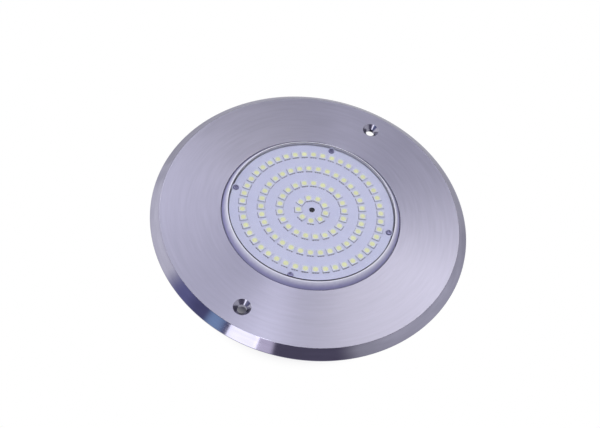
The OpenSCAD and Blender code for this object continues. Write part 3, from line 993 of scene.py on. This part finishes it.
@dataclass
class Housing(SubAssembly):
    """The black moulded cup behind the ring, with the screws that clamp it there."""

    flange_r: float = 81.0
    flange_t: float = 5.0
    shoulder_r: float = 69.2
    step_z: float = -13.2
    body_r: float = 62.8
    mouth_r: float = 65.2
    ledge_z: float = -7.2
    cavity_r: float = 58.8
    floor_t: float = 4.0
    gland_hole_r: float = 10.3
    groove_r: float = 68.4
    groove_w: float = 3.4
    groove_z: float = -1.6
    soft: float = 0.8
    rib_t: float = 2.4
    rib_in: float = 1.0
    rib_edge: float = 3.0
    rib_foot: float = 1.5
    clamps: ClampCircle = ClampCircle()
    clamp_hole_r: float = 2.2
    screw_thread_r: float = 2.0
    screw_head_r: float = 3.5
    screw_head_h: float = 4.0
    screw_key: float = 3.0
    screw_break: float = 0.25
    washer_t: float = 1.0
    washer_w: float = 1.2
    washer_split: float = 12.0
    small_count: int = 4
    foot_screw_r: float = 61.55
    pillar_r: float = 3.5
    pillar_ring_r: float = 44.8
    pillar_turn: float = 45.0
    pillar_top: float = -18.0
    bite: float = 5.0
    small_r: float = 1.5

    def rib(self) -> Mesh:
        """Make one rib between the flange and the wall, on +X.

        Returns:
            Its mesh.
        """
        under = self.clamps.seat_z - self.flange_t
        bm = bmesh.new()
        outline = [(self.shoulder_r - self.rib_in, under + OVERLAP),
                   (self.flange_r - self.rib_edge, under + OVERLAP),
                   (self.shoulder_r - self.rib_in, self.step_z + self.rib_foot)]
        bm.faces.new([bm.verts.new((r * MM, -self.rib_t / 2 * MM, z * MM)) for r, z in outline])
        thicken(bm, (0, self.rib_t, 0))
        return bm

    def build(self) -> None:
        """Mould the cup, then make the clamp screws and their spring washers."""
        _, back, _ = reach("rear_housing")
        seat = self.clamps.seat_z
        under = seat - self.flange_t
        floor = back + self.floor_t
        half = self.groove_w / 2
        self.cup = to_object(turned([
            Corner(self.gland_hole_r, back), Corner(self.body_r, back, 2 * self.soft),
            Corner(self.body_r, self.step_z, self.soft), Corner(self.shoulder_r, self.step_z, self.soft),
            Corner(self.shoulder_r, under, self.soft), Corner(self.flange_r, under, self.soft),
            Corner(self.flange_r, seat), Corner(self.groove_r + half, seat),
            Corner(self.groove_r + half, self.groove_z), Corner(self.groove_r - half, self.groove_z),
            Corner(self.groove_r - half, seat), Corner(self.mouth_r, seat),
            Corner(self.mouth_r, self.ledge_z), Corner(self.cavity_r, self.ledge_z),
            Corner(self.cavity_r, floor, self.soft), Corner(self.gland_hole_r, floor),
        ]), "seen_rear_housing")
        # The ribs stand midway between the clamp screws
        ribs = around(self.clamps.count, 0, 180 / self.clamps.count)
        combine(self.cup, copies(self.rib(), ribs), Join.ADD)
        pillars = around(self.small_count, self.pillar_ring_r, self.pillar_turn)
        combine(self.cup, copies(rod(self.pillar_r, floor - OVERLAP, self.pillar_top), pillars), Join.ADD)
        drill = rod(self.clamp_hole_r, under - OVERLAP, seat + OVERLAP)
        combine(self.cup, copies(drill, self.clamps.places()), Join.CUT)
        feet = around(self.small_count, self.foot_screw_r)
        for places, top in ((pillars, self.pillar_top), (feet, self.ledge_z)):
            drill = rod(self.small_r, top - self.bite, top + OVERLAP, steps=24)
            combine(self.cup, copies(drill, places), Join.CUT)
        self.build_clamps(self.clamps.places())

    def build_clamps(self, places: Sequence[Matrix]) -> None:
        """Make the clamp screws and their spring washers.

        Args:
            places: the middles of the clamp holes.
        """
        _, low, tip = reach("clamp_screws")
        under = low + self.screw_head_h
        fine = self.screw_break
        screw = turned([
            Corner(0, low), Corner(self.screw_head_r, low, 2 * fine), Corner(self.screw_head_r, under, fine),
            Corner(self.screw_thread_r, under), Corner(self.screw_thread_r, tip - fine),
            Corner(self.screw_thread_r - fine, tip), Corner(0, tip),
        ], steps=40)
        self.screws = to_object(copies(screw, places), "seen_clamp_screws")
        socket = hexagon(self.screw_key, low - SPARE, low + self.screw_head_h / 2)
        combine(self.screws, copies(socket, places), Join.CUT)
        bm = bmesh.new()
        inner, outer, over = self.clamp_hole_r, self.clamp_hole_r + self.washer_w, under + self.washer_t
        corners = [(inner, under), (outer, under), (outer, over), (inner, over)]
        face = bm.faces.new([bm.verts.new((r * MM, 0, z * MM)) for r, z in corners])
        bmesh.ops.spin(bm, geom=[face, *face.edges, *face.verts], cent=(0, 0, 0), axis=(0, 0, 1),
                       angle=math.radians(360 - self.washer_split), steps=40, use_merge=False)
        bmesh.ops.recalc_face_normals(bm, faces=bm.faces)
        self.washers = to_object(copies(bm, places), "seen_spring_washers")

    def dress(self) -> None:
        """Give the cup its textured plastic and the fasteners their steel."""
        self.place(self.cup, "black_housing", [HOUSING_ABS])
        self.place(self.screws, "steel_fasteners", [STEEL_SCREW])
        self.place(self.washers, "steel_fasteners", [STEEL_SCREW])


@dataclass
class CableGland(SubAssembly):
    """The nylon gland in the housing's back, whose nut squeezes a rubber seal."""

    key: float = 27.0
    hex_t: float = 5.0
    hex_soft: float = 0.7
    thread_r: float = 10.0
    pitch: float = 1.5
    thread_depth: float = 0.8
    # Shares of the pitch: the plain ends, half of a ridge's foot and half of its crest
    plain_end: float = 0.6
    ridge_foot: float = 0.45
    ridge_crest: float = 0.09
    # How far the hexagon's corners are turned off along it, by how far they stand out
    corner_slope: float = 0.6
    bore_r: float = 6.0
    pocket: float = 8.8
    seal_inner_r: float = 4.5
    seal_soft: float = 0.4
    o_ring_r: float = 11.3
    o_ring_section: float = 1.6
    thrust_inner_r: float = 6.28
    thrust_soft: float = 0.2
    nut_hole_r: float = 6.3
    nut_end_t: float = 5.0
    dome_w: float = 2.0
    dome_h: float = 4.0
    dome_soft: float = 0.6
    thread_gap: float = 0.08
    touch: float = 0.02

    @property
    def wide(self) -> float:
        """A radius that clears the hexagon's corners."""
        return self.key / math.sqrt(3) + SPARE

    def build_body(self) -> Piece:
        """Mould the gland's body: its hexagon, its thread and the pocket for the seal.

        Returns:
            The piece.
        """
        _, end, top = reach("gland_body")
        _, back, _ = reach("rear_housing")
        plain = self.plain_end * self.pitch
        turns = int((top - end - 2 * plain) / self.pitch)
        crests = [end + plain + self.pitch * (k + 0.5) for k in range(turns)]
        foot, crest = self.pitch * self.ridge_foot, self.pitch * self.ridge_crest
        root = self.thread_r - self.thread_depth
        thread = [c for z in crests for c in (
            Corner(root, z - foot), Corner(self.thread_r, z - crest),
            Corner(self.thread_r, z + crest), Corner(root, z + foot))]
        body = to_object(turned([
            Corner(0, end), Corner(root, end), *thread, Corner(root, top), Corner(0, top),
        ], steps=96), "seen_gland_body")
        combine(body, self.hexagon_with_ends(back - self.hex_t, back), Join.ADD)
        seal_r, _, _ = reach("gland_seal")
        combine(body, rod(self.bore_r, end - SPARE, top + SPARE), Join.CUT)
        combine(body, rod(seal_r + self.touch, end - SPARE, end + self.pocket), Join.CUT)
        half_ring = self.o_ring_section / 2 + self.touch
        combine(body, tube(self.o_ring_r + half_ring, self.o_ring_r - half_ring,
                           back - self.o_ring_section + self.touch, back + SPARE), Join.CUT)
        return body

    def hexagon_with_ends(self, low: float, high: float) -> Mesh:
        """Make a hexagon with its corners turned off at the lower end.

        Args:
            low: height of the turned-off end.
            high: height of the other end.

        Returns:
            Its mesh.
        """
        bar = to_object(hexagon(self.key, low, high, self.hex_soft), "bar")
        flat = self.key / 2
        cone = turned([Corner(0, low), Corner(flat, low),
                       Corner(self.wide, low + (self.wide - flat) * self.corner_slope),
                       Corner(self.wide, high), Corner(0, high)], steps=96)
        combine(bar, cone, Join.SHARE)
        return from_object(bar)

    def build_nut(self) -> Piece:
        """Mould the nut: a hexagon with a domed end, a threaded bore and the way out for a cable.

        Returns:
            The piece.
        """
        _, end, top = reach("gland_nut")
        dome_r = self.nut_hole_r + self.dome_w
        flat = self.key / 2
        shoulder = end + self.dome_h
        nut = to_object(hexagon(self.key, end, top, self.hex_soft), "seen_gland_nut")
        combine(nut, turned([
            Corner(0, end), Corner(dome_r, end, self.dome_soft), Corner(flat, shoulder, 2 * self.dome_soft),
            Corner(self.wide, shoulder + self.wide - flat), Corner(self.wide, top), Corner(0, top),
        ], steps=96), Join.SHARE)
        thread_r = self.thread_r + self.thread_gap
        combine(nut, rod(thread_r, end + self.nut_end_t, top + SPARE, steps=96), Join.CUT)
        combine(nut, rod(self.nut_hole_r, end - SPARE, top + SPARE, steps=96), Join.CUT)
        return nut

    def build(self) -> None:
        """Mould the gland and turn its seal, thrust ring and nut."""
        self.body = self.build_body()
        seal_r, seal_low, seal_high = reach("gland_seal")
        seal = tube(seal_r, self.seal_inner_r, seal_low, seal_high, self.seal_soft)
        self.seal = to_object(seal, "seen_gland_seal")
        ring_r, ring_low, ring_high = reach("gland_thrust_ring")
        thrust = tube(ring_r, self.thrust_inner_r, ring_low, ring_high, self.thrust_soft)
        self.thrust = to_object(thrust, "seen_gland_thrust_ring")
        self.nut = self.build_nut()

    def dress(self) -> None:
        """Give the gland its nylon and rubber, and let the nut and its thrust ring move."""
        self.place(self.body, "black_nylon", [GLAND_NYLON])
        self.place(self.seal, "black_rubber", [RUBBER])
        self.place(self.thrust, "white_nylon", [WHITE_NYLON], body="thrust_ring")
        self.place(self.nut, "black_nylon", [GLAND_NYLON], body="nut")
        self.keep(RUBBER, "gland_o_ring")
        self.keep(GLAND_NYLON, "gland_locknut")


@dataclass
class Inside(SubAssembly):
    """What the sealed housing holds: the heat spreader and the driver."""

    def dress(self) -> None:
        """Give each solid its own finish."""
        self.keep(THERMAL_PAD, "thermal_pad")
        self.keep(TURNED_ALUMINIUM, "heat_spreader")
        self.keep(STEEL_SCREW, "spreader_screws", "driver_screws", "terminal_screws")
        self.keep(WIRE_SKIN, "led_leads")
        self.keep(GREEN_LAMINATE, "driver_board")
        self.keep(GREEN_NYLON, "terminal_block")
        self.keep(EPOXY, "bridge_rectifier", "driver_chip")
        self.keep(FERRITE, "inductor_core")
        self.keep(COPPER_WIRE, "inductor_winding")
        self.keep(SLEEVE, "filter_capacitors")


@dataclass(frozen=True)
class Zone:
    """A round part of the studio's walls that is darker or lighter than the rest.

    Attributes:
        azimuth: direction from +X, in degrees.
        elevation: height above the horizon, in degrees.
        radius: half its width, in degrees.
        edge: width of its soft edge, in degrees.
        shade: its colour, sRGB hex.
    """

    azimuth: float
    elevation: float
    radius: float
    edge: float
    shade: str


@dataclass(frozen=True)
class Softbox:
    """A rectangular lamp that points at the light.

    Attributes:
        name: the lamp's name.
        azimuth: direction from +X, in degrees.
        elevation: height above the horizon, in degrees.
        distance: from the middle of the light, in metres.
        width: in metres.
        height: in metres.
        brightness: of its face, where 1 is white.
        colour: sRGB hex.
    """

    name: str
    azimuth: float
    elevation: float
    distance: float
    width: float
    height: float
    brightness: float
    colour: str


def towards(azimuth: float, elevation: float) -> Vector:
    """Give a direction from its azimuth from +X and its elevation, in degrees."""
    a, e = math.radians(azimuth), math.radians(elevation)
    return Vector((math.cos(a) * math.cos(e), math.sin(a) * math.cos(e), math.sin(e)))


@dataclass
class Studio:
    """The plain white studio: its walls, floor, lamps and camera."""

    # Shade of the walls by the sine of the elevation: pale low down, dark overhead
    walls: tuple[tuple[float, str], ...] = (
        (0.0, "c2c2c9"), (0.25, "d3d3da"), (0.5, "d3d3da"), (0.75, "7a7a80"), (1.0, "7a7a80"))
    zones: tuple[Zone, ...] = (
        Zone(191.6, 18.8, 30.0, 14, "f6f6fb"),
        Zone(152.0, 4.0, 10.0, 8, "e6e6ec"),
        Zone(220.0, 15.0, 9.0, 7, "5c5a72"),
        Zone(229.0, 31.0, 12.5, 15, "7d7fac"),
        Zone(242.5, 35.3, 11.0, 9, "64658c"),
        Zone(246.0, 37.5, 3.0, 6, "9ab8de"),
        Zone(300.9, 32.7, 24.7, 12, "656173"),
        Zone(330.0, 21.0, 13.0, 9, "6a6678"),
        Zone(279.0, 42.0, 4.1, 2.5, "f4ecff"),
        Zone(112.0, 39.0, 5.0, 12, "44444c"),
    )
    # Hung where none of them shows as a glare in the lens
    lamps: tuple[Softbox, ...] = (
        Softbox("key_softbox", 266.2, 51.5, 0.98, 0.265, 1.10, 1.85, "fafaff"),
        Softbox("right_softbox", 62.5, 61.6, 0.59, 0.29, 0.37, 2.8, "fffef8"),
        Softbox("left_softbox", 155.1, 62.3, 0.76, 0.38, 0.90, 1.5, "fafaff"),
        Softbox("top_softbox", 274.0, 68.7, 0.325, 0.035, 0.06, 6.2, "fafaff"),
    )
    floor_half: float = 3.0
    floor_gap: float = 0.0005
    # The floor's painted shadow under the light fades out between these radii
    painted_shadow_r: tuple[float, float] = (58.0, 94.0)
    # The floor's paper under the light, darkened as a painted shadow, and in the open, and what it shows to the
    # eye and in steel
    paper_painted_shadow: str = "77758c"
    paper_open: str = "f4f4f8"
    paper_seen: str = "ffffff"
    paper_mirrored: str = "cbcbd0"
    camera_azimuth: float = 20.43
    camera_elevation: float = 54.66
    camera_roll: float = 11.84
    camera_distance: float = 0.63167
    camera_aim: tuple[float, float, float] = (-0.00581, -0.00673, 0.0056)
    camera_lens: float = 52.82
    camera_sensor: float = 36.0
    camera_near: float = 0.01

    def build(self) -> None:
        """Set up the walls, floor, lamps and camera."""
        self.build_walls()
        self.build_floor()
        for lamp in self.lamps:
            self.build_lamp(lamp)
        self.build_camera()
        bpy.context.scene.view_settings.view_transform = "Standard"

    def build_walls(self) -> None:
        """Paint the world: pale low down and dark overhead, with its darker and lighter zones."""
        world = bpy.data.worlds.new("studio_walls")
        bpy.context.scene.world = world
        tree = empty_tree(world)
        way = add_node(tree, "ShaderNodeTexCoord").outputs["Generated"]
        ramp = add_node(tree, "ShaderNodeValToRGB", None, {"Fac": height_of(tree, way)})
        stops = ramp.color_ramp.elements
        while len(stops) < len(self.walls):
            stops.new(1.0)
        for stop, (position, shade) in zip(stops, self.walls):
            stop.position = position
            stop.color = linear(shade)
        colour = ramp.outputs["Color"]
        for zone in self.zones:
            near = vector_math(tree, "DOT_PRODUCT", way, towards(zone.azimuth, zone.elevation))
            inside = fade(tree, near.outputs["Value"],
                          math.cos(math.radians(zone.radius + zone.edge / 2)),
                          math.cos(math.radians(zone.radius - zone.edge / 2)))
            colour = blend(tree, inside, colour, linear(zone.shade))
        back = add_node(tree, "ShaderNodeBackground", None, {"Color": colour, "Strength": 1.0})
        add_node(tree, "ShaderNodeOutputWorld", None, {"Surface": back.outputs[0]})

    def build_floor(self) -> None:
        """Lay the white floor just below the gland's nut at the end of its travel."""
        travel = max(j["range_m"][1] for j in frame["joints"] if j["type"] == "slide")
        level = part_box("gland_nut")[0].z - travel - self.floor_gap
        bm = bmesh.new()
        bmesh.ops.create_grid(bm, x_segments=1, y_segments=1, size=self.floor_half)
        bmesh.ops.translate(bm, vec=(0, 0, level), verts=bm.verts)
        floor = to_object(bm, "floor")
        made = bpy.data.materials.new("studio_floor")
        tree = empty_tree(made)
        # White in the open; under the light a painted shadow, faded in by radius, darkens the paper and takes the
        # white away, over the paper's own shading
        point = add_node(tree, "ShaderNodeTexCoord").outputs["Object"]
        inner, outer = (radius * MM for radius in self.painted_shadow_r)
        outside_painted_shadow = fade(tree, distance(tree, from_axis(tree, point)), inner, outer)
        path = add_node(tree, "ShaderNodeLightPath").outputs
        seen = number_math(tree, "MAXIMUM", path["Is Camera Ray"], path["Is Transmission Ray"])
        shown = number_math(tree, "MAXIMUM", seen, path["Is Glossy Ray"])
        share = number_math(tree, "MULTIPLY", shown, outside_painted_shadow)
        # The paper's colour darkens under the light as a painted shadow
        shade = blend(tree, outside_painted_shadow, linear(self.paper_painted_shadow), linear(self.paper_open))
        paper = add_node(tree, "ShaderNodeBsdfDiffuse", None, {"Color": shade})
        # Steel mirrors it as the grey that paper is away from the lamps
        tone = blend(tree, path["Is Glossy Ray"], linear(self.paper_seen), linear(self.paper_mirrored))
        white = add_node(tree, "ShaderNodeEmission", None, {"Color": tone, "Strength": 1.0})
        mixed = add_node(tree, "ShaderNodeMixShader", None,
                         {0: share, 1: paper.outputs[0], 2: white.outputs[0]})
        # Clear from below, so that the light's back can be looked at
        below = add_node(tree, "ShaderNodeNewGeometry").outputs["Backfacing"]
        clear = add_node(tree, "ShaderNodeBsdfTransparent")
        whole = add_node(tree, "ShaderNodeMixShader", None,
                         {0: below, 1: mixed.outputs[0], 2: clear.outputs[0]})
        add_node(tree, "ShaderNodeOutputMaterial", None, {"Surface": whole.outputs[0]})
        floor.data.materials.append(made)

    def build_lamp(self, lamp: Softbox) -> None:
        """Hang a softbox that points at the middle of the light.

        Args:
            lamp: the softbox.
        """
        data = bpy.data.lights.new(lamp.name, "AREA")
        data.shape = "RECTANGLE"
        data.size = lamp.width
        data.size_y = lamp.height
        data.color = linear(lamp.colour)[:3]
        data.energy = lamp.brightness * lamp.width * lamp.height * math.pi
        hung = bpy.data.objects.new(lamp.name, data)
        way = towards(lamp.azimuth, lamp.elevation)
        hung.location = way * lamp.distance
        hung.rotation_euler = way.to_track_quat("Z", "Y").to_euler()
        # The nearest one hangs between the camera and the light
        hung.visible_camera = False
        bpy.context.scene.collection.objects.link(hung)

    def build_camera(self) -> None:
        """Put the camera where the photograph was taken from."""
        data = bpy.data.cameras.new("photo_camera")
        data.sensor_fit = "HORIZONTAL"
        data.sensor_width = self.camera_sensor
        data.lens = self.camera_lens
        data.clip_start = self.camera_near
        camera = bpy.data.objects.new("photo_camera", data)
        way = towards(self.camera_azimuth - 90, self.camera_elevation)
        camera.location = Vector(self.camera_aim) + way * self.camera_distance
        level = way.to_track_quat("Z", "Y")
        camera.rotation_euler = (level @ Quaternion((0, 0, 1), math.radians(self.camera_roll))).to_euler()
        bpy.context.scene.collection.objects.link(camera)
        bpy.context.scene.camera = camera


def main() -> None:
    """Build the studio and every sub-assembly."""
    logging.basicConfig(level=logging.INFO, format="%(name)s: %(message)s")
    Studio().build()
    for part in (FaceRing(), Lens(), LedBoard(), Housing(), CableGland(), Inside()):
        part.build()
        part.dress()


if __name__ == "__main__":
    main()
